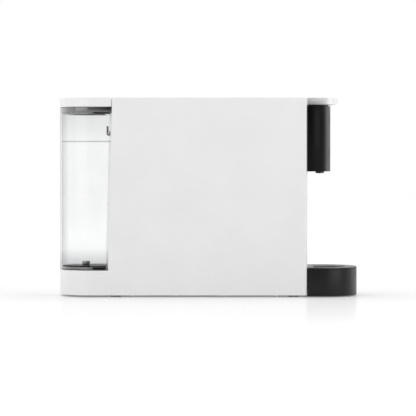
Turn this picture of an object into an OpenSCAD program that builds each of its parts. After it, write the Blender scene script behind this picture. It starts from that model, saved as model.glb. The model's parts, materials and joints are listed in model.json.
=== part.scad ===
// Pod coffee machine: a slim machine with a lever brew unit, a lift-off water tank behind it,
// a slide-out capsule bin and a slide-out drip tray.
// Frame: +X towards the spout, +Z up, origin on the table under the middle of the machine.

/* [Overall] */
// Overall length, from the rear of the tank to the front of the drip tray
overall_len = 368; // [364:1:372]
// Overall width across the side shells
overall_w = 115; // [114:1:117]
// Height of the top of the side shells
top_z = 243.5; // [243.5:0.5:246]
// Height of the underside of the side shells
shell_low_z = 2.4; // [2.4:0.1:2.6]

/* [Side shells] */
// Wall of the side shells
shell_t = 2.5; // [2:0.1:2.8]
// Front face of the side shells, from the middle of the machine
face_x = 121; // [120.8:0.1:121.2]
// Radius of the front vertical edge
front_edge_r = 3.5; // [2:0.5:4]
// Top of the low base under the tank
base_top_z = 32.6; // [32.2:0.1:32.8]
// Depth of the rounded ends of the base and of the drip tray
end_depth = 43; // [41:1:45]
// Corner radius of the rounded ends
end_corner_r = 39; // [37:1:40]

/* [Water tank] */
// Front of the tank at its top
tank_front_top_x = -118; // [-118.2:0.1:-117.9]
// Front of the tank at its foot
tank_front_low_x = -122.7; // [-123:0.1:-122.5]
// Top of the clear tank wall
tank_top_z = 226; // [225:0.5:226]
// Wall of the clear tank
tank_wall = 2.2; // [1.8:0.1:2.4]
// Top of the dark collar on the tank
collar_top_z = 232; // [231.5:0.1:232]

/* [Brew unit] */
// Lever pivot, along the machine
pivot_x = 20; // [19.5:0.5:20.5]
// Lever pivot height
pivot_z = 229; // [228.5:0.5:229]
// Travel of the brew cage
cage_travel = 30; // [28:1:30]
// Swing of the lever in degrees
lever_swing = 75; // [72:1:75]
// Distance of the cam pins from the pivot when the lever is shut
cam_reach = 46; // [46:0.5:47]
// Height of the brew axis
brew_z = 196; // [195:0.5:196]
// Outside radius of the brew cage bell
bell_r = 20; // [19:0.5:20]
// Bore radius of the brew cage bell
bell_bore_r = 15.4; // [15:0.1:16]

/* [Lever] */
// Width of the lever
lever_w = 66; // [60:1:66]
// Underside of the lever
lever_low_z = 235.6; // [235.6:0.1:236]
// Front tip of the lever
lever_tip_x = 160.4; // [158:0.2:161]

/* [Head and spout] */
// Underside of the head
head_low_z = 153.5; // [153:0.5:154]
// Top of the head
head_top_z = 233.9; // [233:0.1:234]
// Middle of the spout, along the machine
spout_x = 138.3; // [137:0.1:140]

/* [Drip tray and bin] */
// Underside of the drip tray
tray_low_z = 1.3; // [1.2:0.1:1.6]
// Top face of the drip grate
tray_top_z = 36; // [35.5:0.5:36]
// Underside of the front panel
panel_low_z = 36.6; // [36.5:0.1:37]
// Top of the front panel
panel_top_z = 150.4; // [149:0.2:150.4]

/* [Hidden] */
$fn = 64;
half_w = overall_w / 2;
rear_x = -overall_len / 2;
front_x = overall_len / 2;
bay_x = tank_front_top_x + 0.6;
bay_low_x = tank_front_low_x + 0.6;
rear_curve_x = -(rear_x + end_depth);
inner_half_w = half_w - shell_t;
flange_w = 15;
floor_z = shell_low_z + shell_t;
floor_t = 2.5;
seam = 0.15;
gap = 0.3;
lid_low_z = collar_top_z + 0.6;
hinge_r = 2.2;
hinge_x = tank_front_top_x - hinge_r;
hinge_z = top_z - hinge_r;
hinge_pin_r = 1;
ear_y = 38;
ear_half_w = 2;
valve_x = -151.7;
valve_bore_r = 3.4;
valve_ledge_z = 37.2;
poppet_low_z = base_top_z + 0.8;
spigot_top_z = base_top_z + 0.5;
tank_floor_z = 36.6;
tank_floor_t = 1.6;
clip_x = -125.8;
clip_to_x = -121.25;
clip_z = 200;
cage_front_x = 95;
bell_len = 33;
cam_pin_r = 2.5;
cam_gap = 0.3;
cam_pin_x = pivot_x + cam_reach;
cheek_in = 25.5;
cheek_t = 3.5;
plate_in = 31;
plate_t = 3;
deck_low_z = 166;
deck_t = 3;
neck_half_w = 49.5;
bin_rear_x = 54;
bin_half_w = 48.5;
button_x = -42;
button_y = 15;
button_r = 8;
float_x = 166;
foot_r = 6;
foot_x = [104, -113];
foot_plug_r = 2.42;
screw_x = [84, 20, -40, -92];
inset_y = half_w - 8;
deck_x = -6;
shelf_z = 98;
shelf_t = 3;
board_y = -49;
board_t = 1.6;
board_x = [-108, -14];
board_z = [40, 160];
pump_y = 26;
pump_z = 48;
coil_x = [-82, -50];
flow_at = [-88, -24, floor_z + floor_t];
flow_r = 16;
heater_x = [-92, -20];
heater_y = [-30, 26];
heater_z = [104, 128];
valve_at = [-7, 26, 60];
pipe_z = 15;
nozzle_low_z = 151.3;
pipe_r = 3;
pipe_bore_r = 1.6;
hose_r = 4;
hose_bore_r = 3.02;
bend_r = 6.5;
brew_pipe_z = 178;
brew_hose_at = [16, -40];

// ---- plan shapes ----

// Plan of a bar that runs from x = from to a rounded end: two corner arcs and one wide front arc.
module round_end(from, start, depth, half, corner) {
    wide_r = (depth * depth + half * half - 2 * half * corner) / (2 * (depth - corner));
    centre_x = start + depth - wide_r;
    reach = wide_r / (wide_r - corner);
    touch_x = centre_x + (start - centre_x) * reach;
    touch_y = (half - corner) * reach;
    far = 3;
    intersection() {
        translate([from, -half])
            square([start + depth - from, 2 * half]);
        union() {
            translate([from, -half])
                square([start - from, 2 * half]);
            for (side = [-1, 1])
                translate([start, side * (half - corner)])
                    circle(r = corner, $fn = 96);
            intersection() {
                translate([centre_x, 0])
                    circle(r = wide_r, $fn = 180);
                polygon([
                    [centre_x, 0],
                    [centre_x + far * (touch_x - centre_x), -far * touch_y],
                    [centre_x + far * (touch_x - centre_x), far * touch_y]
                ]);
            }
        }
    }
}

// Plan of the rear end of the machine, shrunk by inset, from x = to back to the rear.
module rear_plan(to, inset) {
    mirror([1, 0])
        round_end(-to, rear_curve_x, end_depth - inset, half_w - inset, end_corner_r - inset);
}

// Plan of the drip tray's front, shrunk by inset.
module tray_plan(from, inset) {
    round_end(from, front_x - end_depth, end_depth - inset, half_w - inset, end_corner_r - inset);
}

// Plan of the head, shrunk by inset.
module head_plan(from, inset) {
    round_end(from, face_x + 4.3, 26 - inset, half_w - inset, 20 - inset);
}

// Side outline in X and Z, drawn through the whole width.
module across(half) {
    rotate([90, 0, 0])
        translate([0, 0, -half])
            linear_extrude(2 * half)
                children();
}

// Height range of a plan.
module rise(low, high) {
    translate([0, 0, low])
        linear_extrude(high - low)
            children();
}

// Box from its lowest corner to its highest.
module block(low, high) {
    translate(low)
        cube(high - low);
}

// Straight round bar along X, Y or Z, from its start.
module bar_x(at, len, r) {
    translate(at)
        rotate([0, 90, 0])
            cylinder(h = len, r = r);
}

module bar_y(at, len, r) {
    translate(at)
        rotate([-90, 0, 0])
            cylinder(h = len, r = r);
}

module bar_z(at, len, r) {
    translate(at)
        cylinder(h = len, r = r);
}

// Coil spring along Z: one tube swept round a helix, as rings of corner points.
module coil_spring(coil_r, wire_r, len, turns) {
    sides = 6;
    steps = 14;
    rings = turns * steps;
    points = [
        for (i = [0 : rings])
            for (j = [0 : sides - 1])
                let (
                    a = 360 * i / steps,
                    b = 360 * j / sides,
                    r = coil_r + wire_r * cos(b),
                    z = wire_r + (len - 2 * wire_r) * i / rings + wire_r * sin(b)
                )
                [r * cos(a), r * sin(a), z]
    ];
    faces = [
        [for (j = [0 : sides - 1]) j],
        for (i = [0 : rings - 1])
            for (j = [0 : sides - 1])
                [
                    i * sides + j,
                    (i + 1) * sides + j,
                    (i + 1) * sides + (j + 1) % sides,
                    i * sides + (j + 1) % sides
                ],
        [for (j = [sides - 1 : -1 : 0]) rings * sides + j]
    ];
    polyhedron(points = points, faces = faces);
}

// ---- shells and fixed covers ----

// One side shell, on the +Y side, with the half of the rear base that belongs to it.
module side_shell() {
    difference() {
        union() {
            translate([0, half_w, 0])
                rotate([90, 0, 0])
                    linear_extrude(shell_t)
                        polygon([
                            [face_x - front_edge_r, shell_low_z],
                            [face_x - front_edge_r, top_z],
                            [bay_x, top_z],
                            [bay_x, collar_top_z],
                            [bay_low_x, base_top_z],
                            [-rear_curve_x, base_top_z],
                            [-rear_curve_x, shell_low_z]
                        ]);
            rise(shell_low_z, base_top_z)
                difference() {
                    rear_plan(-rear_curve_x + 0.01, 0);
                    rear_plan(0, shell_t);
                    translate([rear_x - 1, -half_w - 1])
                        square([overall_len, half_w + 1 + seam]);
                }
            rise(shell_low_z, top_z)
                front_edge();
            block([bay_x, inner_half_w - 2, top_z - shell_t], [face_x - 2.5, half_w - shell_t, top_z]);
            block(
                [bay_low_x, half_w - flange_w, shell_low_z],
                [face_x - 2.5, half_w - shell_t, floor_z]
            );
            for (x = [board_x[0] + 4, board_x[1] - 4])
                for (z = [board_z[0] + 6, board_z[1] - 6])
                    bar_y([x, -board_y, z], inner_half_w + board_y + 0.5, 3);
        }
        inlet_cut();
        for (x = screw_x)
            bar_z([x, inset_y, shell_low_z - 1], 6, 1.7);
        for (x = foot_x)
            bar_z([x, inset_y, shell_low_z - 1], 6, 2.5);
    }
}

// Plan of the front upright of a side shell, with its rounded outer corner.
module front_edge() {
    translate([face_x - front_edge_r, half_w - 6.3])
        square([front_edge_r, 6.3 - front_edge_r]);
    intersection() {
        translate([face_x - front_edge_r, half_w - front_edge_r])
            circle(r = front_edge_r);
        translate([face_x - front_edge_r, half_w - front_edge_r])
            square(front_edge_r + 1);
    }
}

// Opening in the rear base for the power inlet.
module inlet_cut() {
    block([rear_x - 5, -14.3, 7.2], [rear_x + 12, 14.3, 27.8]);
}

module left_shell() {
    color("white")
        side_shell();
}

module right_shell() {
    color("white")
        mirror([0, 1, 0])
            side_shell();
}

module top_cover() {
    color("white")
        difference() {
            block([bay_x, 2 - inner_half_w, top_z - shell_t], [face_x - 3.6, inner_half_w - 2, top_z]);
            block(
                [pivot_x - 14, -lever_w / 2 - 1, top_z - 5],
                [face_x + 1, lever_w / 2 + 1, top_z + 5]
            );
            for (side = [-1, 1]) {
                bar_z([button_x, side * button_y, top_z - 5], 10, button_r + gap);
                bar_z([button_x, side * button_y, top_z - 1], 5, button_r + 2);
            }
        }
}

module base_plate() {
    color("dimgray")
        difference() {
            union() {
                block([bay_low_x, -inner_half_w, floor_z], [face_x - 3.7, inner_half_w, floor_z + floor_t]);
                rise(floor_z, floor_z + floor_t)
                    rear_plan(bay_low_x + 0.01, shell_t + 0.2);
            }
            for (side = [-1, 1])
                for (x = screw_x)
                    bar_z([x, side * inset_y, floor_z - 1], 5, 1.5);
            for (side = [-1, 1])
                for (x = foot_x)
                    bar_z([x, side * inset_y, floor_z - 1], 5, 2.5);
            for (i = [0 : 7])
                block([i * 6 - 60, -14, floor_z - 1], [i * 6 - 57, 14, floor_z + 5]);
        }
}

module rear_wall() {
    color("white")
        difference() {
            across(inner_half_w)
                polygon([
                    [bay_x, top_z - shell_t],
                    [bay_x, collar_top_z],
                    [bay_low_x, floor_z + floor_t],
                    [bay_low_x + 2.5, floor_z + floor_t],
                    [bay_x + 2.5, collar_top_z],
                    [bay_x + 2.5, top_z - shell_t]
                ]);
            bar_x([bay_low_x - 5, 0, pipe_z], 12, hose_r + gap);
        }
}

module tank_seat() {
    color("white")
        difference() {
            rise(base_top_z - 3, base_top_z - 0.4)
                rear_plan(bay_low_x - 0.2, shell_t + 0.2);
            bar_z([valve_x, 0, base_top_z - 5], 10, 5);
        }
}

module inner_frame() {
    color("gray")
        difference() {
            union() {
                block([46, -inner_half_w, floor_z + floor_t + 26], [49, inner_half_w, deck_low_z]);
                block([deck_x, -inner_half_w, deck_low_z], [face_x - 4, inner_half_w, deck_low_z + deck_t]);
                for (side = [-1, 1])
                    block(
                        [deck_x - 3, side * 52.6 - 2, floor_z + floor_t],
                        [deck_x, side * 52.6 + 2, deck_low_z + deck_t]
                    );
                block([bay_x, heater_y[0] - 2, shelf_z], [deck_x, 52.6, shelf_z + shelf_t]);
                block([deck_x - 3, -52.6, shelf_z], [deck_x, 52.6, shelf_z + shelf_t]);
                block([valve_at[0] - 5, valve_at[1] + 8, valve_at[2]], [valve_at[0] + 1, valve_at[1] + 11, shelf_z + 1]);
                for (side = [-1, 1])
                    block(
                        [46, side * 52.6 - 2, floor_z + floor_t],
                        [49, side * 52.6 + 2, floor_z + floor_t + 26]
                    );
            }
            block([58, -22, deck_low_z - 1], [96, 22, deck_low_z + deck_t + 1]);
            bar_z([brew_hose_at[0], brew_hose_at[1], deck_low_z - 1], 6, hose_r + 0.5);
            bar_z([valve_at[0], valve_at[1], shelf_z - 1], 6, hose_r + 1);
        }
}

module head_cover() {
    color("black")
        difference() {
            union() {
                rise(head_low_z, head_top_z)
                    head_plan(face_x + gap, 0);
                rise(head_top_z - 0.1, lever_low_z - 0.4)
                    head_plan(face_x + gap, 2.5);
                block([face_x - 3, -50.6, panel_top_z + 0.4], [face_x - 0.4, 50.6, head_low_z + 2.5]);
                block([face_x - 1, -50.6, head_low_z + 0.1], [face_x + 1, 50.6, head_low_z + 2.5]);
            }
            rise(head_low_z + 2.5, head_top_z - 2.5)
                head_plan(face_x - 4, 2.5);
            bar_z([spout_x, 0, head_low_z - 1], 6, 6);
        }
}

module nozzle() {
    color("dimgray")
        difference() {
            union() {
                bar_z([spout_x, 0, nozzle_low_z], 32.6, 5.3);
                bar_z([spout_x, 0, head_low_z + 2.6], 2, 9);
                bar_x([111.1, 0, brew_pipe_z], spout_x - 112.1, 4.6);
            }
            bar_z([spout_x, 0, 150], 30, 2);
            bar_x([110, 0, brew_pipe_z], spout_x - 111, 1.5);
        }
}

module nozzle_tip() {
    color("silver")
        difference() {
            bar_z([spout_x, 0, nozzle_low_z - 0.5], 12, 1.98);
            bar_z([spout_x, 0, nozzle_low_z - 2], 16, 1.2);
        }
}

// ---- brew unit ----

module brew_frame() {
    color("gray")
        for (side = [-1, 1])
            difference() {
                union() {
                    block([4, side * (plate_in + plate_t / 2) - plate_t / 2, deck_low_z + deck_t],
                        [face_x - 4, side * (plate_in + plate_t / 2) + plate_t / 2, 216]);
                    block([pivot_x - 6, side * (plate_in + plate_t / 2) - plate_t / 2, 210],
                        [face_x - 4, side * (plate_in + plate_t / 2) + plate_t / 2, pivot_z]);
                    bar_y([pivot_x, side * (plate_in + plate_t / 2) - plate_t / 2, pivot_z], plate_t, 6);
                }
                block([5, side * plate_in - 1.7, brew_z - 6.3], [96, side * plate_in + 1.7, brew_z + 0.3]);
                bar_y([pivot_x, side * (plate_in + 1) - 5, pivot_z], 10, 3);
            }
}

module pivot_pins() {
    color("silver")
        for (side = [-1, 1])
            bar_y([pivot_x, side * 29.5 - 4.5, pivot_z], 9, 3);
}

module extraction_head() {
    color("dimgray")
        difference() {
            union() {
                block([98, -plate_in, 174], [111, plate_in, 220]);
                bar_x([96, 0, brew_z], 5, bell_r);
            }
            bar_x([95, 0, brew_z], 3, bell_bore_r + 1);
            bar_x([97, 0, brew_z], 9, 3);
            bar_x([103, 0, brew_pipe_z], 12, 1.5);
            bar_z([103, 0, 175.5], 20, 1.9);
        }
}

module extraction_plate() {
    color("silver")
        difference() {
            bar_x([96.2, 0, brew_z], 1.7, bell_bore_r + 0.9);
            for (i = [-2 : 2])
                for (j = [-2 : 2])
                    bar_x([95, i * 4.6, brew_z + j * 4.6], 5, 0.9);
        }
}

module capsule_guides() {
    color("dimgray")
        for (side = [-1, 1])
            block([74, side * 22.4 - 1.9, 220], [111, side * 22.4 + 1.9, 228]);
}

module brew_cage() {
    color("dimgray")
        difference() {
            union() {
                bar_x([cage_front_x - bell_len, 0, brew_z], bell_len, bell_r);
                bar_x([cage_front_x - bell_len - 5, 0, brew_z], 6, 12);
                for (side = [-1, 1]) {
                    block([52, side * 23.9 - 8.5, brew_z - 6], [84, side * 23.9 + 8.5, brew_z]);
                    block([cam_pin_x - 6, side * 22.4 - 1.9, brew_z - 6],
                        [cam_pin_x + 6, side * 22.4 + 1.9, pivot_z]);
                    bar_y([cam_pin_x, side * 22.4 - 1.9, pivot_z], 3.8, 4.6);
                }
            }
            bar_x([cage_front_x - bell_len + 4, 0, brew_z], bell_len, bell_bore_r);
            bar_x([cage_front_x - bell_len - 8, 0, brew_z], 20, 2.2);
            seal_ring(2.2);
            for (side = [-1, 1])
                bar_y([cam_pin_x, side * 22.4 - 5, pivot_z], 10, cam_pin_r);
        }
}

module cam_pins() {
    color("silver")
        for (side = [-1, 1])
            bar_y([cam_pin_x, side * 24.9 - 4.3, pivot_z], 8.6, cam_pin_r);
}

module piercing_plate() {
    color("silver")
        difference() {
            union() {
                bar_x([66, 0, brew_z], 1.2, bell_bore_r - 0.1);
                for (a = [90, 210, 330])
                    translate([67, 8 * cos(a), brew_z + 8 * sin(a)])
                        rotate([0, 90, 0])
                            cylinder(h = 5, r1 = 1.6, r2 = 0.3, $fn = 24);
            }
            bar_x([64, 0, brew_z], 5, 2);
        }
}

// Ring that lies in a groove in the front face of the bell, as deep as depth.
module seal_ring(depth) {
    translate([cage_front_x - 1.8, 0, brew_z])
        rotate([0, 90, 0])
            rotate_extrude()
                translate([16.8, 0])
                    square([1.8, depth]);
}

module cage_seal() {
    color("brown")
        seal_ring(1.7);
}

// Point of the cam track at angle a, moved sideways by side. The track's distance from the
// pivot grows evenly with the angle, so the cage moves evenly with the lever.
function cam_point(a, side) =
    let (
        per_deg = cage_travel / lever_swing,
        r = cam_reach + per_deg * a,
        slope = per_deg * 180 / PI,
        tx = slope * cos(a) - r * sin(a),
        ty = slope * sin(a) + r * cos(a),
        n = sqrt(tx * tx + ty * ty)
    )
    [r * cos(a) - side * ty / n, r * sin(a) + side * tx / n];

// Band that follows the cam track, half_band to each side, with round ends.
module cam_band(half_band) {
    steps = 30;
    polygon(concat(
        [for (i = [0 : steps]) cam_point(-lever_swing * i / steps, half_band)],
        [for (i = [steps : -1 : 0]) cam_point(-lever_swing * i / steps, -half_band)]
    ));
    translate(cam_point(0, 0))
        circle(r = half_band);
    translate(cam_point(-lever_swing, 0))
        circle(r = half_band);
}

module lever_cams() {
    color("dimgray")
        for (side = [-1, 1])
            translate([pivot_x, side * (cheek_in + cheek_t / 2) + cheek_t / 2, pivot_z])
                rotate([90, 0, 0])
                    difference() {
                        linear_extrude(cheek_t)
                            difference() {
                                union() {
                                    cam_band(7.5);
                                    circle(r = 6.5);
                                    polygon([[-6, 0], [-6, 6.5], [62, 6.5], [52, -4], [8, -18]]);
                                }
                                cam_band(cam_pin_r + cam_gap);
                                translate([0, 6.5])
                                    square([80, 10]);
                            }
                        translate([0, 0, -1])
                            cylinder(h = cheek_t + 2, r = 3.05);
                    }
}

module lever() {
    color("lightgray")
        difference() {
            intersection() {
                rise(lever_low_z, top_z + 0.5)
                    round_end(pivot_x - 10, lever_tip_x - 16, 16, lever_w / 2, 13);
                across(half_w)
                    polygon([
                        [pivot_x - 10, lever_low_z],
                        [pivot_x - 10, top_z - 2],
                        [pivot_x - 8, top_z + 0.1],
                        [pivot_x + 4, top_z + 0.5],
                        [lever_tip_x - 12, top_z + 0.5],
                        [lever_tip_x - 1.5, top_z - 0.6],
                        [lever_tip_x, top_z - 2],
                        [lever_tip_x, top_z - 5],
                        [lever_tip_x - 2, lever_low_z + 1],
                        [lever_tip_x - 6, lever_low_z]
                    ]);
            }
            for (side = [-1, 1])
                for (x = [34, 66])
                    bar_z([x, side * 20, lever_low_z - 1], 5, 1.3);
        }
}

module lever_screws() {
    color("silver")
        for (side = [-1, 1])
            for (x = [34, 66]) {
                bar_z([x, side * 20, lever_low_z - 1.2], 1.2, 2.6);
                bar_z([x, side * 20, lever_low_z - 0.1], 3.6, 1.3);
            }
}

// ---- drip tray and capsule bin ----

module drip_tray() {
    color("black")
        difference() {
            union() {
                rise(tray_low_z, tray_top_z - 1.6)
                    tray_plan(face_x + gap, 0);
                block([-4, -neck_half_w, floor_z + floor_t + 0.8], [face_x + 1, neck_half_w, 30]);
            }
            rise(tray_low_z + 2.5, tray_top_z + 1)
                tray_plan(face_x + 4, 2.5);
            rise(tray_top_z - 3.4, tray_top_z + 1)
                tray_plan(face_x + 2.2, 1.3);
            block([-1.5, 2.5 - neck_half_w, floor_z + floor_t + 3.3], [face_x + 0.3, neck_half_w - 2.5, 40]);
            block([face_x - 2, -12, 22], [face_x + 6, 12, 40]);
        }
    color("black")
        difference() {
            bar_z([float_x, 0, tray_low_z + 2], 14, 11.5);
            bar_z([float_x, 0, tray_low_z + 1], 20, 10);
            block([float_x - 20, -2, tray_low_z + 2.6], [float_x + 20, 2, tray_low_z + 20]);
        }
}

module drip_grate() {
    color("black")
        difference() {
            union() {
                rise(tray_top_z - 1.2, tray_top_z)
                    tray_plan(face_x + gap, 0);
                rise(tray_top_z - 3.3, tray_top_z - 1.1)
                    tray_plan(face_x + 2.6, 1.7);
            }
            for (i = [-5 : 5])
                grate_slot(i * 8);
            bar_z([float_x, 0, tray_top_z - 5], 10, 4);
        }
}

// One slot of the grate at distance y from the middle, shorter towards the sides.
module grate_slot(y) {
    slot_from = face_x + 9;
    slot_to = face_x + 50 - y * y / 90;
    slot_end = abs(y) < 6 ? float_x - 9 : slot_to;
    block([slot_from, y - 1.6, tray_top_z - 5], [slot_end, y + 1.6, tray_top_z + 1]);
}

module tray_float() {
    color("orangered")
        union() {
            bar_z([float_x, 0, tray_low_z + 2.8], 8, 9.4);
            bar_z([float_x, 0, tray_low_z + 10], tray_top_z - tray_low_z - 10.3, 3.4);
        }
}

module capsule_bin() {
    color("dimgray")
        difference() {
            block([bin_rear_x, -bin_half_w, panel_low_z + 1.4], [face_x - 3, bin_half_w, panel_top_z - 2.4]);
            block([bin_rear_x + 2, 2 - bin_half_w, panel_low_z + 3.4], [face_x - 5, bin_half_w - 2, panel_top_z]);
            block([face_x - 13, -24, 112], [face_x, 24, 134]);
        }
    color("dimgray")
        difference() {
            block([face_x - 14, -26, 110], [face_x - 4, 26, 136]);
            block([face_x - 12.5, -24.5, 111.5], [face_x, 24.5, 134.5]);
        }
}

module front_panel() {
    color("black")
        difference() {
            block([face_x - 3, -50.6, panel_low_z], [face_x - 0.4, 50.6, panel_top_z]);
            block([face_x - 10, -24, 112], [face_x + 5, 24, 134]);
        }
}

// ---- water tank ----

// Tank body between two heights, its wall shrunk by inset, with the leaning front.
module tank_solid(low, high, inset) {
    lean = (tank_front_top_x - tank_front_low_x) / (collar_top_z - base_top_z);
    intersection() {
        rise(low, high)
            rear_plan(tank_front_top_x + 1, inset);
        across(half_w)
            polygon([
                [rear_x, low],
                [tank_front_low_x - inset + (low - base_top_z) * lean, low],
                [tank_front_low_x - inset + (high - base_top_z) * lean, high],
                [rear_x, high]
            ]);
    }
}

module tank() {
    color("lightblue", 0.4)
        difference() {
            tank_solid(base_top_z + 0.8, tank_top_z, 0.2);
            tank_solid(tank_floor_z + tank_floor_t, tank_top_z + 1, 0.2 + tank_wall);
            tank_solid(base_top_z, tank_floor_z, 0.2 + tank_wall);
            bar_z([valve_x, 0, base_top_z], valve_ledge_z - base_top_z, 5);
            bar_z([valve_x, 0, base_top_z], 10, valve_bore_r);
        }
}

module tank_foot() {
    color("darkslategray")
        difference() {
            tank_solid(base_top_z + 1, tank_floor_z, 0.2 + tank_wall);
            bar_z([valve_x, 0, base_top_z], 10, 5);
        }
}

module tank_collar() {
    color("darkslategray")
        difference() {
            union() {
                tank_solid(tank_top_z, collar_top_z, 0.2);
                tank_solid(tank_top_z - 2.4, tank_top_z, 0.2 + tank_wall);
                for (side = [-1, 1]) {
                    block([hinge_x - hinge_r, side * ear_y - ear_half_w, collar_top_z - 1],
                        [hinge_x + hinge_r, side * ear_y + ear_half_w, hinge_z]);
                    bar_y([hinge_x, side * ear_y - ear_half_w, hinge_z], 2 * ear_half_w, hinge_r);
                }
            }
            rise(tank_top_z - 5, collar_top_z + 0.01)
                rear_plan(tank_front_top_x - 9, 9);
            for (side = [-1, 1])
                bar_y([hinge_x, side * ear_y - 4, hinge_z], 8, hinge_pin_r);
        }
}

// J-shaped clip on the inner face of the tank's front wall.
module tank_clip() {
    color("gray")
        across(6)
            intersection() {
                translate([clip_x, clip_z - 5])
                    square([clip_to_x - clip_x, 20]);
                union() {
                    translate([clip_x, clip_z])
                        square([2, 9.4]);
                    difference() {
                        translate([clip_x + 2.5, clip_z])
                            circle(r = 2.5);
                        translate([clip_x + 2.5, clip_z])
                            circle(r = 0.7);
                        translate([clip_x - 1, clip_z])
                            square([8, 5]);
                    }
                    translate([clip_x + 3.2, clip_z - 0.5])
                        square([2, 3.5]);
                }
            }
}

module tank_lid() {
    color("white")
        difference() {
            union() {
                difference() {
                    rise(lid_low_z, top_z)
                        rear_plan(hinge_x, 0);
                    rise(lid_low_z - 1, top_z - 2.5)
                        rear_plan(hinge_x - 1.8, 2);
                }
                block([hinge_x - 0.01, 0.2 - half_w, lid_low_z], [hinge_x + hinge_r, half_w - 0.2, hinge_z]);
                bar_y([hinge_x, 0.2 - half_w, hinge_z], overall_w - 0.4, hinge_r);
            }
            for (side = [-1, 1])
                block([hinge_x - 3.4, side * ear_y - ear_half_w - 0.5, lid_low_z - 1],
                    [hinge_x + 5, side * ear_y + ear_half_w + 0.5, top_z + 1]);
            bar_y([hinge_x, -45, hinge_z], 90, hinge_pin_r + 0.06);
        }
}

module lid_pin() {
    color("silver")
        bar_y([hinge_x, -ear_y - ear_half_w, hinge_z], 2 * (ear_y + ear_half_w), hinge_pin_r);
}

module valve_poppet() {
    color("gray")
        union() {
            bar_z([valve_x, 0, tank_floor_z + tank_floor_t + 1], 3, 4.8);
            bar_z([valve_x, 0, poppet_low_z], 6, 2.6);
            bar_z([valve_x, 0, poppet_low_z], 0.8, 4.6);
        }
}

module valve_spring() {
    color("silver")
        translate([valve_x, 0, poppet_low_z + 0.9])
            coil_spring(3.9, 0.35, valve_ledge_z - poppet_low_z - 1, 3);
}

module valve_seal() {
    color("dimgray")
        translate([valve_x, 0, tank_floor_z + tank_floor_t])
            rotate_extrude()
                translate([valve_bore_r + 0.1, 0])
                    square([1.2, 0.9]);
}

module inlet_spigot() {
    color("gray")
        difference() {
            union() {
                bar_z([valve_x, 0, pipe_z - 4], spigot_top_z - pipe_z + 4, pipe_r);
                bar_z([valve_x, 0, base_top_z - 4.6], 1.6, 9);
                bar_x([valve_x, 0, pipe_z], 16, pipe_r);
            }
            bar_x([valve_x + 0.5, 0, pipe_z], 18, pipe_bore_r);
            bar_z([valve_x, 0, pipe_z - 1], base_top_z, pipe_bore_r + 0.2);
        }
}

module spigot_seal() {
    color("dimgray")
        translate([valve_x, 0, base_top_z - 2])
            rotate_extrude()
                translate([3.9, 0])
                    circle(r = 0.85, $fn = 24);
}

// ---- water and power ----

module pump_body() {
    color("ivory")
        difference() {
            union() {
                block([coil_x[0] - 4, pump_y - 20, 28], [coil_x[0], pump_y + 20, 68]);
                block([coil_x[1], pump_y - 20, 28], [coil_x[1] + 4, pump_y + 20, 68]);
                bar_x([coil_x[0] - 18, pump_y, pump_z], 18, 9);
                bar_x([coil_x[1], pump_y, pump_z], 26, 9.2);
                bar_x([coil_x[0] - 25.4, pump_y, pump_z], 10, pipe_r);
                bar_x([coil_x[1] + 24, pump_y, pump_z], 11, pipe_r);
                bar_x([coil_x[0] - 2, pump_y, pump_z], 36, 8.4);
            }
            bar_x([coil_x[0] - 30, pump_y, pump_z], 100, 1.8);
            bar_x([coil_x[0] - 12, pump_y, pump_z], 60, 6);
        }
}

module pump_coil() {
    color("black")
        difference() {
            bar_x([coil_x[0] + 0.2, pump_y, pump_z], coil_x[1] - coil_x[0] - 0.4, 19);
            bar_x([coil_x[0] - 2, pump_y, pump_z], 40, 8.5);
        }
}

module pump_piston() {
    color("silver")
        difference() {
            bar_x([coil_x[0] - 6, pump_y, pump_z], 34, 5.6);
            bar_x([coil_x[0] - 8, pump_y, pump_z], 40, 1.6);
        }
}

module pump_mounts() {
    color("dimgray")
        difference() {
            union() {
                for (x = [coil_x[0] - 14, coil_x[1] + 8])
                    block([x, pump_y - 16, floor_z + floor_t], [x + 6, pump_y + 16, 44]);
            }
            bar_x([coil_x[0] - 18, pump_y, pump_z], 30, 9.02);
            bar_x([coil_x[1], pump_y, pump_z], 30, 9.22);
        }
}

module flow_meter() {
    color("ivory")
        difference() {
            union() {
                bar_z(flow_at, flow_r, 14);
                bar_x([flow_at[0] - 19.4, flow_at[1], pipe_z], 9.4, pipe_r);
                bar_x([flow_at[0] + 12, flow_at[1], pipe_z], 12, pipe_r);
            }
            bar_z(flow_at + [0, 0, 2], 11, 12);
            bar_x([flow_at[0] - 24, flow_at[1], pipe_z], 18, pipe_bore_r);
            bar_x([flow_at[0] + 6, flow_at[1], pipe_z], 24, pipe_bore_r);
            bar_z(flow_at + [0, 0, 1], 14, 1.05);
        }
}

module flow_rotor() {
    color("royalblue")
        difference() {
            union() {
                bar_z(flow_at + [0, 0, 3], 9, 3);
                bar_z(flow_at + [0, 0, 1.2], 13, 1);
                for (i = [0 : 5])
                    translate(flow_at + [0, 0, 3.5])
                        rotate([0, 0, 60 * i])
                            translate([2, -0.6, 0])
                                cube([9, 1.2, 8]);
            }
            bar_z(flow_at, 1, 0.5);
        }
}

module thermoblock() {
    heater_fins = 7;
    color("silver")
        difference() {
            union() {
                block([heater_x[0], heater_y[0], heater_z[0]], [heater_x[1], heater_y[1], heater_z[1]]);
                for (i = [0 : heater_fins - 1])
                    block(
                        [heater_x[0] + 2 + i * 11, heater_y[0] + 2, heater_z[1] - 1],
                        [heater_x[0] + 5 + i * 11, heater_y[1] - 2, heater_z[1] + 6]
                    );
                for (x = [heater_x[0] + 6, heater_x[1] - 6])
                    for (y = [heater_y[0] + 6, heater_y[1] - 6])
                        bar_z([x, y, shelf_z + shelf_t], 4, 4);
                for (y = [-12, 12])
                    bar_x([heater_x[1] - 0.1, y, 116], 6.5, pipe_r);
            }
            for (y = [-12, 12])
                bar_x([heater_x[1] - 20, y, 116], 40, pipe_bore_r);
        }
}

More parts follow.
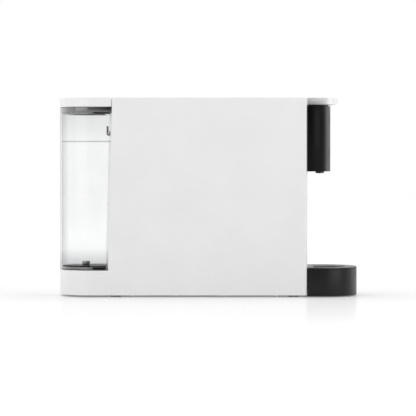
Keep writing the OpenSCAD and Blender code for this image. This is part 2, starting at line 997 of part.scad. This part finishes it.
module thermostats() {
    color("white")
        for (x = [-74, -40])
            union() {
                bar_z([x, 0, heater_z[1] + 6], 5, 7);
                block([x - 9, -2, heater_z[1] + 10], [x - 6, 2, heater_z[1] + 11]);
                block([x + 6, -2, heater_z[1] + 10], [x + 9, 2, heater_z[1] + 11]);
            }
}

module pressure_valve() {
    color("gray")
        difference() {
            union() {
                block(valve_at + [-7, -8, 0], valve_at + [7, 8, 16]);
                bar_z(valve_at + [0, 0, -5], 6, pipe_r);
                bar_z(valve_at + [0, 0, 15], 9, pipe_r);
            }
            bar_z(valve_at + [0, 0, -8], 40, pipe_bore_r);
        }
}

// Ring that is a hose's cross-section.
module hose_ring() {
    difference() {
        circle(r = hose_r);
        circle(r = hose_bore_r);
    }
}

// Hose through points, whose legs are parallel to the axes, with a quarter bend at each corner.
module hose(points) {
    last = len(points) - 1;
    for (i = [0 : last - 1]) {
        leg = points[i + 1] - points[i];
        way = leg / norm(leg);
        start = i == 0 ? 0 : bend_r;
        end = i == last - 1 ? 0 : bend_r;
        translate(points[i] + start * way)
            rotate([0, acos(way[2]), atan2(way[1], way[0])])
                linear_extrude(norm(leg) - start - end)
                    hose_ring();
    }
    for (i = [1 : last - 1])
        hose_bend(points[i], points[i] - points[i - 1], points[i + 1] - points[i]);
}

// Quarter bend at a corner, from the direction of one leg to the direction of the next.
module hose_bend(corner, before, after) {
    u = before / norm(before);
    v = after / norm(after);
    w = cross(u, v);
    c = corner + bend_r * (v - u);
    multmatrix([
        [-v[0], u[0], w[0], c[0]],
        [-v[1], u[1], w[1], c[1]],
        [-v[2], u[2], w[2], c[2]],
        [0, 0, 0, 1]
    ])
        rotate_extrude(angle = 90)
            translate([bend_r, 0])
                hose_ring();
}

module hoses() {
    flow_x = flow_at[0];
    flow_y = flow_at[1];
    color("white") {
        hose([
            [valve_x + 8, 0, pipe_z],
            [-114, 0, pipe_z],
            [-114, flow_y, pipe_z],
            [flow_x - flow_r - 0.2, flow_y, pipe_z]
        ]);
        hose([
            [flow_x + flow_r + 0.2, flow_y, pipe_z],
            [-54, flow_y, pipe_z],
            [-54, flow_y, pump_z],
            [-54, flow_y + 15, pump_z],
            [-114, flow_y + 15, pump_z],
            [-114, pump_y, pump_z],
            [coil_x[0] - 18.2, pump_y, pump_z]
        ]);
        hose([
            [coil_x[1] + 26.2, pump_y, pump_z],
            [valve_at[0], pump_y, pump_z],
            valve_at - [0, 0, 0.2]
        ]);
        hose([
            valve_at + [0, 0, 16.2],
            [valve_at[0], valve_at[1], 116],
            [valve_at[0], 12, 116],
            [heater_x[1] + 0.2, 12, 116]
        ]);
        hose([
            [heater_x[1] + 0.2, -12, 116],
            [brew_hose_at[0], -12, 116],
            [brew_hose_at[0], brew_hose_at[1], 116],
            [brew_hose_at[0], brew_hose_at[1], 176]
        ]);
    }
}

module circuit_board() {
    color("green")
        block([board_x[0], board_y, board_z[0]], [board_x[1], board_y + board_t, board_z[1]]);
}

module board_parts() {
    face_y = board_y + board_t;
    color("darkorange") {
        block([-100, face_y, 50], [-76, -28, 78]);
        block([-68, face_y, 52], [-50, -33, 70]);
        block([-44, face_y, 52], [-24, -35, 68]);
        bar_y([-92, face_y, 96], 14, 8);
        bar_y([-70, face_y, 90], 12, 5);
        block([-60, face_y, 84], [-40, -44, 98]);
    }
}

module button_board() {
    color("green")
        block([button_x - 14, -30, 228.4], [button_x + 14, 30, 230]);
    color("black")
        for (side = [-1, 1])
            block([button_x - 2.4, side * button_y - 2.4, 230], [button_x + 2.4, side * button_y + 2.4, 233.4]);
}

// A button: round cap, collar that keeps it in the cover, and a short stem above its switch.
module button(y) {
    bar_z([button_x, y, top_z - 5.2], 5.4, button_r);
    bar_z([button_x, y, top_z - 5.2], 1.6, button_r + 1.4);
    bar_z([button_x, y, 235.2], 4, 2.4);
}

module left_button() {
    color("silver")
        button(button_y);
}

module right_button() {
    color("silver")
        button(-button_y);
}

module button_spring(y) {
    translate([button_x, y, 230])
        coil_spring(5, 0.4, top_z - 5.2 - 230, 4);
}

module left_button_spring() {
    color("silver")
        button_spring(button_y);
}

module right_button_spring() {
    color("silver")
        button_spring(-button_y);
}

module button_rings() {
    color("whitesmoke")
        for (side = [-1, 1])
            difference() {
                bar_z([button_x, side * button_y, top_z - 1], 1, button_r + 2);
                bar_z([button_x, side * button_y, top_z - 2], 5, button_r + gap);
            }
}

module power_inlet() {
    color("black")
        difference() {
            block([rear_x + 1.6, -14.1, 7.4], [rear_x + 20, 14.1, 27.6]);
            block([rear_x, -12, 9.6], [rear_x + 17.6, 12, 25.6]);
        }
    color("silver")
        for (p = [[-7, 16.2], [0, 19.6], [7, 16.2]])
            block([rear_x + 7, p[0] - 1, p[1] - 2], [rear_x + 22, p[0] + 1, p[1] + 2]);
}

module shell_screws() {
    color("silver")
        for (side = [-1, 1])
            for (x = screw_x) {
                bar_z([x, side * inset_y, shell_low_z - 1.4], 1.4, 3);
                bar_z([x, side * inset_y, shell_low_z - 0.1], 5, 1.5);
            }
}

module feet() {
    color("dimgray")
        for (side = [-1, 1])
            for (x = foot_x)
                union() {
                    bar_z([x, side * inset_y, 0], shell_low_z, foot_r);
                    bar_z([x, side * inset_y, 1], 6, foot_plug_r);
                }
}

left_shell();
right_shell();
top_cover();
base_plate();
rear_wall();
tank_seat();
inner_frame();
head_cover();
nozzle();
nozzle_tip();
brew_frame();
pivot_pins();
extraction_head();
extraction_plate();
capsule_guides();
brew_cage();
cam_pins();
piercing_plate();
cage_seal();
lever();
lever_cams();
lever_screws();
drip_tray();
drip_grate();
tray_float();
capsule_bin();
front_panel();
tank();
tank_foot();
tank_collar();
tank_clip();
tank_lid();
lid_pin();
valve_poppet();
valve_spring();
valve_seal();
inlet_spigot();
spigot_seal();
pump_body();
pump_coil();
pump_piston();
pump_mounts();
flow_meter();
flow_rotor();
thermoblock();
thermostats();
pressure_valve();
hoses();
circuit_board();
board_parts();
button_board();
left_button();
right_button();
left_button_spring();
right_button_spring();
button_rings();
power_inlet();
shell_screws();
feet();
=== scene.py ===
"""Looks of the slim pod coffee machine: materials, rounded edges, water, light and camera."""

import functools
import json
import math

import bmesh
import bpy
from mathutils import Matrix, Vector


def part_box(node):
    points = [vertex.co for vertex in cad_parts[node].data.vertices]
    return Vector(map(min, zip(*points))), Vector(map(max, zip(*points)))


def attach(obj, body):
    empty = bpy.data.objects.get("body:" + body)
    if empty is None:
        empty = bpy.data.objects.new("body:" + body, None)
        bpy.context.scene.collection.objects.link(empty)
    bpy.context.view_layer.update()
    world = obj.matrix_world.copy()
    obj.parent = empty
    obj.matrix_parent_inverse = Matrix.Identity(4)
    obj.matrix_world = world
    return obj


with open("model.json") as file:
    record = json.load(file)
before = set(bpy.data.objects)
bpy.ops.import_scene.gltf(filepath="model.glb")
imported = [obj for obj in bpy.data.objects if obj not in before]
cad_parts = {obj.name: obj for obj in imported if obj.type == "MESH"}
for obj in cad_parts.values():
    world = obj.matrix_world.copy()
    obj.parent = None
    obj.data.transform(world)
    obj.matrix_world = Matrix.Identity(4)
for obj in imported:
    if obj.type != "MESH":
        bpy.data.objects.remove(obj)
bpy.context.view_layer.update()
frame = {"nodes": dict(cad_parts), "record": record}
NODES = frame["nodes"]
RECORD = frame["record"]

MM = 0.001

# ---- the photograph's view, in metres ----
NEAR_DISTANCE = 3.239  # camera to the near side panel
VIEW_WIDTH = 0.5070  # width of the picture at that panel
CAMERA_X = -0.0003
EYE_HEIGHT = 0.1675
AIM_HEIGHT = 0.1090
SENSOR_MM = 36
FAR_CLIP = 50

# ---- heights and thicknesses in the tank, in metres ----
WATER_LEVEL = 0.1905
WATER_RIM = 0.6 * MM  # how far the water climbs the wall
TANK_FLOOR_T = 1.6 * MM
WALL_BITE = 2.35 * MM  # the tank's outside to the water's, which just bites into the wall
FRONT_BITE = 2.3 * MM
RIM_INSET = 3.2 * MM
SURFACE_INSET = 9 * MM
FRONT_LEAN_RUN = 2.2 * MM  # the front wall's foot stands back from the foot disc's front by this
LIP_TOP = 0.2261  # the collar's lip reaches down inside the tank's wall below this
# the plan of the tank's rounded rear
REAR_DEPTH = 43 * MM
REAR_CORNER = 39 * MM

# ---- edge rounding ----
WELD_GAP = 0.002 * MM
FLAT_ANGLE = math.radians(0.6)
ROUND_ANGLE = math.radians(34)
SHARP_ANGLE = math.radians(32)


def make_camera():
    """Level side view along +Y from far away, aimed a little down."""
    near_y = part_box("right_shell")[0].y
    data = bpy.data.cameras.new("camera")
    data.sensor_width = SENSOR_MM
    data.lens = SENSOR_MM * NEAR_DISTANCE / VIEW_WIDTH
    data.clip_end = FAR_CLIP
    camera = bpy.data.objects.new("camera", data)
    bpy.context.scene.collection.objects.link(camera)
    camera.location = (CAMERA_X, near_y - NEAR_DISTANCE, EYE_HEIGHT)
    pitch = math.atan2(EYE_HEIGHT - AIM_HEIGHT, NEAR_DISTANCE)
    camera.rotation_euler = (math.radians(90) - pitch, 0, 0)
    bpy.context.scene.camera = camera


# ---- node helpers ----
class Surface:
    """A material's node tree with short calls for what every finish here needs."""

    def __init__(self, name):
        self.material = bpy.data.materials.new(name)
        self.material.use_nodes = True
        self.tree = self.material.node_tree
        self.shader = self.tree.nodes["Principled BSDF"]
        self.place = self.node("ShaderNodeTexCoord").outputs["Object"]
        self.bump_from = None

    def node(self, kind, **values):
        node = self.tree.nodes.new(kind)
        for key, value in values.items():
            setattr(node, key, value)
        return node

    def link(self, start, end):
        self.tree.links.new(start, end)

    def set(self, **values):
        for key, value in values.items():
            self.shader.inputs[key.replace("_", " ")].default_value = value

    def noise(self, size, detail=3.0, stretch=(1, 1, 1)):
        """Noise whose blobs are about size metres across, stretched along an axis by a divisor."""
        mapping = self.node("ShaderNodeMapping")
        mapping.inputs["Scale"].default_value = [1 / s for s in stretch]
        self.link(self.place, mapping.inputs["Vector"])
        noise = self.node("ShaderNodeTexNoise")
        noise.inputs["Scale"].default_value = 1 / size
        noise.inputs["Detail"].default_value = detail
        self.link(mapping.outputs["Vector"], noise.inputs["Vector"])
        return noise.outputs["Fac"]

    def ramp(self, source, low, high, start=0.35, end=0.65):
        """source remapped so that start gives low and end gives high, as a number."""
        node = self.node("ShaderNodeMapRange")
        node.inputs["From Min"].default_value = start
        node.inputs["From Max"].default_value = end
        node.inputs["To Min"].default_value = low
        node.inputs["To Max"].default_value = high
        self.link(source, node.inputs["Value"])
        return node.outputs["Result"]

    def mix(self, factor, first, second):
        """Blend of two colours, each a tuple or a socket."""
        node = self.node("ShaderNodeMix", data_type="RGBA")
        self.link(factor, node.inputs[0])
        for value, socket in ((first, node.inputs[6]), (second, node.inputs[7])):
            if isinstance(value, (tuple, list)):
                socket.default_value = (*value[:3], 1)
            else:
                self.link(value, socket)
        return node.outputs[2]

    def colour(self, source):
        self.link(source, self.shader.inputs["Base Color"])

    def roughness(self, source):
        self.link(source, self.shader.inputs["Roughness"])

    def bump(self, source, depth, strength=1.0):
        """Adds relief of depth metres on top of any relief already there."""
        node = self.node("ShaderNodeBump")
        node.inputs["Distance"].default_value = depth
        node.inputs["Strength"].default_value = strength
        self.link(source, node.inputs["Height"])
        if self.bump_from:
            self.link(self.bump_from, node.inputs["Normal"])
        self.bump_from = node.outputs["Normal"]
        self.link(self.bump_from, self.shader.inputs["Normal"])

    def add(self, first, second):
        node = self.node("ShaderNodeMath", operation="ADD", use_clamp=True)
        self.link(first, node.inputs[0])
        self.link(second, node.inputs[1])
        return node.outputs[0]

    def along(self, axis):
        """The place along X, Y or Z, in metres."""
        split = self.node("ShaderNodeSeparateXYZ")
        self.link(self.place, split.inputs["Vector"])
        return split.outputs[axis]

    def facing(self, blend):
        """0 where the surface faces the eye and 1 where it turns away."""
        node = self.node("ShaderNodeLayerWeight")
        node.inputs["Blend"].default_value = blend
        return node.outputs["Facing"]

    def edges(self, radius):
        """1 along sharp edges, within radius metres, and 0 on flat faces."""
        bevel = self.node("ShaderNodeBevel", samples=4)
        bevel.inputs["Radius"].default_value = radius
        geometry = self.node("ShaderNodeNewGeometry")
        dot = self.node("ShaderNodeVectorMath", operation="DOT_PRODUCT")
        self.link(bevel.outputs["Normal"], dot.inputs[0])
        self.link(geometry.outputs["Normal"], dot.inputs[1])
        return self.ramp(dot.outputs["Value"], 1, 0, 0.80, 0.99)


def plastic(name, tone, rough, wear=0.10, coat=0.0, shine=0.5):
    """Moulded plastic: fine grain, slight tone and gloss drift, edges rubbed a little paler."""
    s = Surface(name)
    s.set(IOR=1.5, Specular_IOR_Level=shine, Coat_Weight=coat, Coat_Roughness=0.08)
    darker = [c * 0.975 for c in tone]
    paler = [c + (1 - c) * wear for c in tone]
    body = s.mix(s.ramp(s.noise(60 * MM, 2), 0, 1), tone, darker)
    s.colour(s.mix(s.edges(0.6 * MM), body, paler))
    s.roughness(s.ramp(s.noise(18 * MM, 4), rough - 0.03, rough + 0.04))
    s.bump(s.noise(0.35 * MM, 2), 0.010 * MM)
    return s.material


def metal(name, tone, rough, along=(40, 1, 1), metallic=1.0, relief=0.006 * MM):
    """Brushed metal: fine lines along one axis, with brighter worn edges."""
    s = Surface(name)
    s.set(Metallic=metallic)
    lines = s.noise(0.5 * MM, 3, along)
    dark = [c * 0.86 for c in tone]
    bright = [min(1, c * 1.15) for c in tone]
    body = s.mix(s.ramp(lines, 0, 1), dark, tone)
    s.colour(s.mix(s.edges(0.4 * MM), body, bright))
    s.roughness(s.ramp(lines, rough - 0.05, rough + 0.07))
    s.bump(lines, relief)
    return s.material


def rubber(name, tone):
    """Matt rubber with a dusty bloom in its finer pores."""
    s = Surface(name)
    s.set(IOR=1.45)
    dusty = [c + 0.05 for c in tone]
    s.colour(s.mix(s.ramp(s.noise(5 * MM, 5), 0, 1, 0.45, 0.75), tone, dusty))
    s.roughness(s.ramp(s.noise(2 * MM), 0.72, 0.88))
    s.bump(s.noise(0.4 * MM, 3), 0.03 * MM)
    return s.material


def see_through(name, clear, veils, gloss, wave):
    """Thin clear wall: a glossy coat over a film that lets most light straight through.
    veils(surface) gives the film's veils, which add up, each from 0, clear, to 1, dimmed."""
    s = Surface(name)
    s.set(IOR=1.0, Transmission_Weight=1.0, Specular_IOR_Level=0.5)
    s.set(Coat_Weight=gloss, Coat_Roughness=0.10, Coat_IOR=1.45)
    s.colour(s.mix(functools.reduce(s.add, veils(s)), clear, (0.30, 0.31, 0.32)))
    s.roughness(s.ramp(s.noise(9 * MM, 3, (1, 1, 4)), 0.02, 0.06))
    s.bump(s.noise(14 * MM, 1, (1, 1, 5)), wave, 0.5)
    return s.material


def tank_veils(s):
    """Painted shade under the lid and near the foot, and the wall's own depth where it turns away."""
    low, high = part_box("tank")
    z = s.along("Z")
    # painted shade: the wall's film is dimmed towards the top, under the lid, and towards the foot
    painted_shade_under_lid = s.ramp(z, 0.0, 0.15, WATER_LEVEL - 6 * MM, high.z)
    painted_shade_at_foot = s.ramp(z, 0.30, 0.0, low.z + 3 * MM, low.z + 24 * MM)
    turn = s.ramp(s.facing(0.35), 0.0, 0.48, 0.36, 1.0)
    patches = s.ramp(s.noise(25 * MM, 3), 0.01, 0.035)
    return [painted_shade_under_lid, painted_shade_at_foot, turn, patches]


def water_veils(s):
    """Clear inside, with a fine dark line where the surface meets the wall."""
    z = s.along("Z")
    line = s.ramp(z, 0.0, 0.42, WATER_LEVEL - 1.0 * MM, WATER_LEVEL - 0.5 * MM)
    turn = s.ramp(s.facing(0.3), 0.0, 0.10, 0.2, 1.0)
    return [line, turn]


def smoke_plastic(name):
    """Glossy smoked plastic with painted light: paler towards the rear of the tank, with a pale lip
    below LIP_TOP.
    """
    s = Surface(name)
    s.set(IOR=1.5, Coat_Weight=0.6, Coat_Roughness=0.04)
    rear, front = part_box("tank_collar")
    # painted light: the collar is painted pale at the rear, where it catches light, and dark towards
    # the front
    painted_light_fade = s.ramp(s.along("X"), 0, 1, rear.x + 4 * MM, front.x - 6 * MM)
    body = s.mix(painted_light_fade, (0.23, 0.23, 0.235), (0.022, 0.022, 0.024))
    # painted light: the lip, seen through the tank's wall, is painted pale grey
    lip = s.ramp(s.along("Z"), 1, 0, LIP_TOP, LIP_TOP + 0.4 * MM)
    s.colour(s.mix(lip, body, (0.22, 0.22, 0.225)))
    s.roughness(s.ramp(s.noise(12 * MM, 3), 0.10, 0.17))
    s.bump(s.noise(10 * MM, 2), 0.01 * MM)
    return s.material


def board(name, tone):
    """Circuit board: solder mask over faint copper tracks."""
    s = Surface(name)
    s.set(IOR=1.5)
    brick = s.node("ShaderNodeTexBrick")
    brick.inputs["Scale"].default_value = 60
    brick.inputs["Mortar Size"].default_value = 0.03
    brick.inputs["Color1"].default_value = (*tone, 1)
    brick.inputs["Color2"].default_value = (*[c * 0.85 for c in tone], 1)
    brick.inputs["Mortar"].default_value = (*[min(1, c * 1.9 + 0.03) for c in tone], 1)
    s.link(s.place, brick.inputs["Vector"])
    s.colour(brick.outputs["Color"])
    s.roughness(s.ramp(s.noise(6 * MM), 0.25, 0.4))
    s.bump(brick.outputs["Fac"], 0.03 * MM)
    return s.material


def cast(name, tone):
    """Cast aluminium: pebbled skin, machined-looking edges."""
    s = Surface(name)
    s.set(Metallic=1.0)
    skin = s.noise(0.9 * MM, 5)
    body = s.mix(s.ramp(skin, 0, 1), [c * 0.8 for c in tone], tone)
    s.colour(s.mix(s.edges(0.5 * MM), body, [min(1, c * 1.2) for c in tone]))
    s.roughness(s.ramp(skin, 0.42, 0.58))
    s.bump(skin, 0.08 * MM)
    return s.material


MATERIALS = {
    "white_plastic": plastic("white_plastic", (0.83, 0.83, 0.83), 0.42, wear=0.25),
    "grey_plastic": plastic("grey_plastic", (0.20, 0.205, 0.21), 0.5),
    "black_plastic": plastic("black_plastic", (0.004, 0.004, 0.0043), 0.30, wear=0.006,
                             shine=0.22),
    "dark_plastic": plastic("dark_plastic", (0.03, 0.03, 0.032), 0.45, wear=0.03),
    "steel": metal("steel", (0.60, 0.60, 0.61), 0.27),
    "red_rubber": rubber("red_rubber", (0.36, 0.07, 0.04)),
    "silver_paint": metal("silver_paint", (0.93, 0.93, 0.935), 0.50, (60, 1, 1), 0.30,
                          0.003 * MM),
    "red_plastic": plastic("red_plastic", (0.62, 0.05, 0.02), 0.25, coat=0.4),
    "clear_plastic": see_through("clear_plastic", (0.985, 0.987, 0.988), tank_veils, 0.35,
                                 0.03 * MM),
    "smoke_plastic": smoke_plastic("smoke_plastic"),
    "black_rubber": rubber("black_rubber", (0.02, 0.02, 0.02)),
    "ivory_plastic": plastic("ivory_plastic", (0.74, 0.70, 0.58), 0.45),
    "blue_plastic": plastic("blue_plastic", (0.02, 0.10, 0.45), 0.25, coat=0.3),
    "cast_aluminium": cast("cast_aluminium", (0.70, 0.71, 0.72)),
    "ceramic_white": plastic("ceramic_white", (0.80, 0.78, 0.72), 0.22, coat=0.5),
    "brass_metal": metal("brass_metal", (0.72, 0.50, 0.20), 0.25),
    "hose_silicone": plastic("hose_silicone", (0.70, 0.70, 0.66), 0.38),
    "green_board": board("green_board", (0.012, 0.13, 0.045)),
    "board_parts": plastic("board_parts", (0.55, 0.20, 0.03), 0.35),
}
# pieces whose surface differs a little from the rest of their material, some only by painted light or
# shade
OWN_FINISH = {
    # painted shade and light: the head's black is a darker copy of black_plastic and the tray's a
    # lighter one
    "head_cover": plastic("head_black_painted_shade", (0.0028, 0.0028, 0.003), 0.33, wear=0.004, shine=0.10),
    "drip_tray": plastic("tray_black_painted_light", (0.0105, 0.0105, 0.0108), 0.36, wear=0.010,
                         shine=0.22),
    "drip_grate": plastic("grate_black", (0.012, 0.012, 0.0125), 0.34, wear=0.03, shine=0.6),
    "button_rings": plastic("ring_grey", (0.16, 0.16, 0.165), 0.30, wear=0.05),
    # partly painted light: the poppet is grey, painted paler still to make up for light the tank's
    # walls hold back
    "valve_poppet": plastic("poppet_grey_painted_light", (0.55, 0.56, 0.56), 0.40, wear=0.08),
    # partly painted light: the feet are grey rubber, painted paler to lift them out of the shade
    # under the machine
    "feet": rubber("feet_grey_painted_light", (0.20, 0.20, 0.20)),
}
WATER = see_through("water", (0.995, 0.997, 0.998), water_veils, 0.15, 0.01 * MM)


# ---- rounded edges on the CAD pieces ----
def edge_tool():
    """Node group that shades by angle and drops the imported normals, for use after a bevel."""
    group = bpy.data.node_groups.new("shade_by_angle", "GeometryNodeTree")
    group.interface.new_socket("Geometry", in_out="INPUT", socket_type="NodeSocketGeometry")
    group.interface.new_socket("Geometry", in_out="OUTPUT", socket_type="NodeSocketGeometry")
    start = group.nodes.new("NodeGroupInput")
    end = group.nodes.new("NodeGroupOutput")
    normal = group.nodes.new("GeometryNodeSetMeshNormal")
    normal.mode = "SHARPNESS"
    angle = group.nodes.new("GeometryNodeInputMeshEdgeAngle")
    compare = group.nodes.new("FunctionNodeCompare")
    compare.operation = "GREATER_THAN"
    compare.inputs["B"].default_value = SHARP_ANGLE
    group.links.new(angle.outputs["Unsigned Angle"], compare.inputs["A"])
    group.links.new(start.outputs[0], normal.inputs["Mesh"])
    group.links.new(compare.outputs[0], normal.inputs["Edge Sharpness"])
    normal.inputs["Remove Custom"].default_value = True
    group.links.new(normal.outputs[0], end.inputs[0])
    return group


SHADE = edge_tool()


# pieces that are mostly one curved wall, whose smooth shading needs no levelling
ROUND_PIECES = ("tank", "tank_collar", "tank_foot", "head_cover", "drip_tray")
# how far each piece's sharp edges are rounded, in millimetres; the others keep theirs
EDGE_WIDTHS = {
    "left_shell": 0.7, "right_shell": 0.7, "top_cover": 0.5, "head_cover": 0.8, "drip_tray": 0.7,
    "drip_grate": 0.5, "lever": 0.8, "tank_lid": 0.7, "tank_collar": 0.35, "tank": 0.4,
    "front_panel": 0.4, "capsule_bin": 0.4, "left_button": 0.5, "right_button": 0.5,
    "feet": 0.5, "brew_cage": 0.5, "lever_cams": 0.4, "thermoblock": 0.6, "power_inlet": 0.4,
    "extraction_head": 0.5, "pump_body": 0.5, "pump_coil": 0.6, "tray_float": 0.5, "nozzle": 0.4,
}


def round_edges(name, width):
    """Welds the piece, joins its flat facets and bevels its sharp edges by width metres."""
    piece = NODES[name]
    weld = piece.modifiers.new("weld", "WELD")
    weld.merge_threshold = WELD_GAP
    flat = piece.modifiers.new("join_flats", "DECIMATE")
    flat.decimate_type = "DISSOLVE"
    flat.angle_limit = FLAT_ANGLE
    if width:
        bevel = piece.modifiers.new("round", "BEVEL")
        bevel.width = width
        bevel.segments = 2
        bevel.limit_method = "ANGLE"
        bevel.angle_limit = ROUND_ANGLE
        bevel.use_clamp_overlap = True
        bevel.miter_outer = "MITER_ARC"
    shade = piece.modifiers.new("shade", "NODES")
    shade.node_group = SHADE
    if name in ROUND_PIECES:
        return
    level = piece.modifiers.new("level_faces", "WEIGHTED_NORMAL")
    level.mode = "FACE_AREA"
    level.weight = 50
    level.thresh = 0.01
    level.keep_sharp = True


def finish_nodes():
    """Gives every CAD piece its material and its rounded edges."""
    slots = {row["node"]: row["material_slot"] for row in RECORD["subparts"]}
    for name, piece in NODES.items():
        piece.data.materials.clear()
        piece.data.materials.append(OWN_FINISH.get(name, MATERIALS[slots[name]]))
        round_edges(name, EDGE_WIDTHS.get(name, 0.0) * MM)


# ---- the water in the tank ----
def end_outline(inset, front, steps=26):
    """Plan of the tank's rounded rear, shrunk by inset: from the front round the rear and back."""
    low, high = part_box("tank_lid")
    depth, corner, half = REAR_DEPTH, REAR_CORNER, high.y
    start = low.x + depth
    wide = (depth ** 2 + half ** 2 - 2 * half * corner) / (2 * (depth - corner))
    centre = low.x + wide
    turn = math.asin((half - corner) / (wide - corner))
    points = [(front, half - inset)]
    for i in range(steps + 1):
        a = math.radians(90) - (math.radians(90) - turn) * i / steps
        r = corner - inset
        points.append((start - r * math.cos(a), half - corner + r * math.sin(a)))
    for i in range(1, steps + 1):
        a = turn - turn * i / steps
        r = wide - inset
        points.append((centre - r * math.cos(a), r * math.sin(a)))
    return points + [(x, -y) for x, y in reversed(points[:-1])]


def make_water():
    """The water: a closed body that just bites into the tank's inner faces, with a raised rim."""
    tank_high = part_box("tank")[1]
    foot_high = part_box("tank_foot")[1]
    lean = (tank_high.x - foot_high.x - FRONT_LEAN_RUN) / (tank_high.z - foot_high.z)
    levels = (
        (foot_high.z + TANK_FLOOR_T - 0.05 * MM, WALL_BITE),
        (WATER_LEVEL + WATER_RIM, WALL_BITE),
        (WATER_LEVEL, RIM_INSET),
        (WATER_LEVEL, SURFACE_INSET),
    )
    mesh = bmesh.new()
    rings = []
    for z, inset in levels:
        front = tank_high.x - FRONT_BITE - (tank_high.z - z) * lean - (inset - WALL_BITE)
        rings.append([mesh.verts.new((x, y, z)) for x, y in end_outline(inset, front)])
    for first, second in zip(rings, rings[1:]):
        count = len(first)
        for i in range(count):
            mesh.faces.new((first[i], first[(i + 1) % count], second[(i + 1) % count], second[i]))
    mesh.faces.new(reversed(rings[0]))
    mesh.faces.new(rings[-1])
    bmesh.ops.recalc_face_normals(mesh, faces=mesh.faces)
    data = bpy.data.meshes.new("water")
    mesh.to_mesh(data)
    mesh.free()
    for polygon in data.polygons:
        polygon.use_smooth = True
    water = bpy.data.objects.new("water", data)
    bpy.context.scene.collection.objects.link(water)
    data.materials.append(WATER)
    data.set_sharp_from_angle(angle=math.radians(35))
    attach(water, "water_tank")


# ---- stage, light ----
def make_floor():
    """White glossy table: bright all over from its own painted glow, dimmer near the machine, with a
    faint soft mirror of what stands on it.
    """
    mesh = bmesh.new()
    bmesh.ops.create_grid(mesh, x_segments=2, y_segments=2, size=9)
    data = bpy.data.meshes.new("floor")
    mesh.to_mesh(data)
    mesh.free()
    floor = bpy.data.objects.new("floor", data)
    bpy.context.scene.collection.objects.link(floor)
    s = Surface("floor")
    s.set(Specular_IOR_Level=0.0, Roughness=0.9)
    drift = s.ramp(s.noise(0.6, 2), 0, 1)
    s.colour(s.mix(drift, (0.90, 0.90, 0.90), (0.89, 0.89, 0.89)))
    # painted light: the table glows by itself, rising with distance from the machine, which lifts the
    # shade under it
    far = s.node("ShaderNodeVectorMath", operation="LENGTH")
    s.link(s.place, far.inputs[0])
    s.shader.inputs["Emission Color"].default_value = (1, 1, 1, 1)
    s.link(s.ramp(far.outputs["Value"], 0.21, 0.44, 0.45, 2.4), s.shader.inputs["Emission Strength"])
    gloss = s.node("ShaderNodeBsdfGlossy")
    gloss.inputs["Roughness"].default_value = 0.16
    blend = s.node("ShaderNodeMixShader")
    blend.inputs["Fac"].default_value = 0.24
    out = s.tree.nodes["Material Output"]
    s.link(s.shader.outputs["BSDF"], blend.inputs[1])
    s.link(gloss.outputs["BSDF"], blend.inputs[2])
    s.link(blend.outputs[0], out.inputs["Surface"])
    data.materials.append(s.material)


def area_light(name, place, aim, size, power):
    """Rectangular soft light of size (width, height) metres and power watts, turned to aim."""
    data = bpy.data.lights.new(name, "AREA")
    data.shape = "RECTANGLE"
    data.size, data.size_y = size
    data.energy = power
    light = bpy.data.objects.new(name, data)
    bpy.context.scene.collection.objects.link(light)
    light.location = place
    light.rotation_euler = (Vector(aim) - Vector(place)).to_track_quat("-Z", "Y").to_euler()


def make_world():
    """White for the camera and behind the machine, dimmer in front of it, where the camera stands."""
    world = bpy.data.worlds.new("studio")
    bpy.context.scene.world = world
    world.use_nodes = True
    tree = world.node_tree
    background = tree.nodes["Background"]
    background.inputs["Color"].default_value = (1, 1, 1, 1)
    place = tree.nodes.new("ShaderNodeTexCoord")
    split = tree.nodes.new("ShaderNodeSeparateXYZ")
    tree.links.new(place.outputs["Generated"], split.inputs["Vector"])
    ramp = tree.nodes.new("ShaderNodeMapRange")
    ramp.inputs["From Min"].default_value = -0.9
    ramp.inputs["From Max"].default_value = 0.3
    ramp.inputs["To Min"].default_value = 0.10
    ramp.inputs["To Max"].default_value = 1.0
    tree.links.new(split.outputs["Y"], ramp.inputs["Value"])
    path = tree.nodes.new("ShaderNodeLightPath")
    both = tree.nodes.new("ShaderNodeMath")
    both.operation = "MAXIMUM"
    tree.links.new(path.outputs["Is Camera Ray"], both.inputs[0])
    tree.links.new(ramp.outputs["Result"], both.inputs[1])
    tree.links.new(both.outputs["Value"], background.inputs["Strength"])


def make_lights():
    """Two large soft boxes on the camera's side, and one overhead."""
    middle = (0, 0, 0.12)
    for name, x in (("left_box", -2.3), ("right_box", 2.3)):
        area_light(name, (x, -2.2, 0.75), middle, (2.6, 1.5), 27)
    area_light("top_box", (0, -0.3, 2.6), (0, -0.3, 0), (3.4, 3.0), 19)


bpy.context.scene.view_settings.view_transform = "Standard"
make_camera()
make_world()
make_floor()
make_lights()
finish_nodes()
make_water()
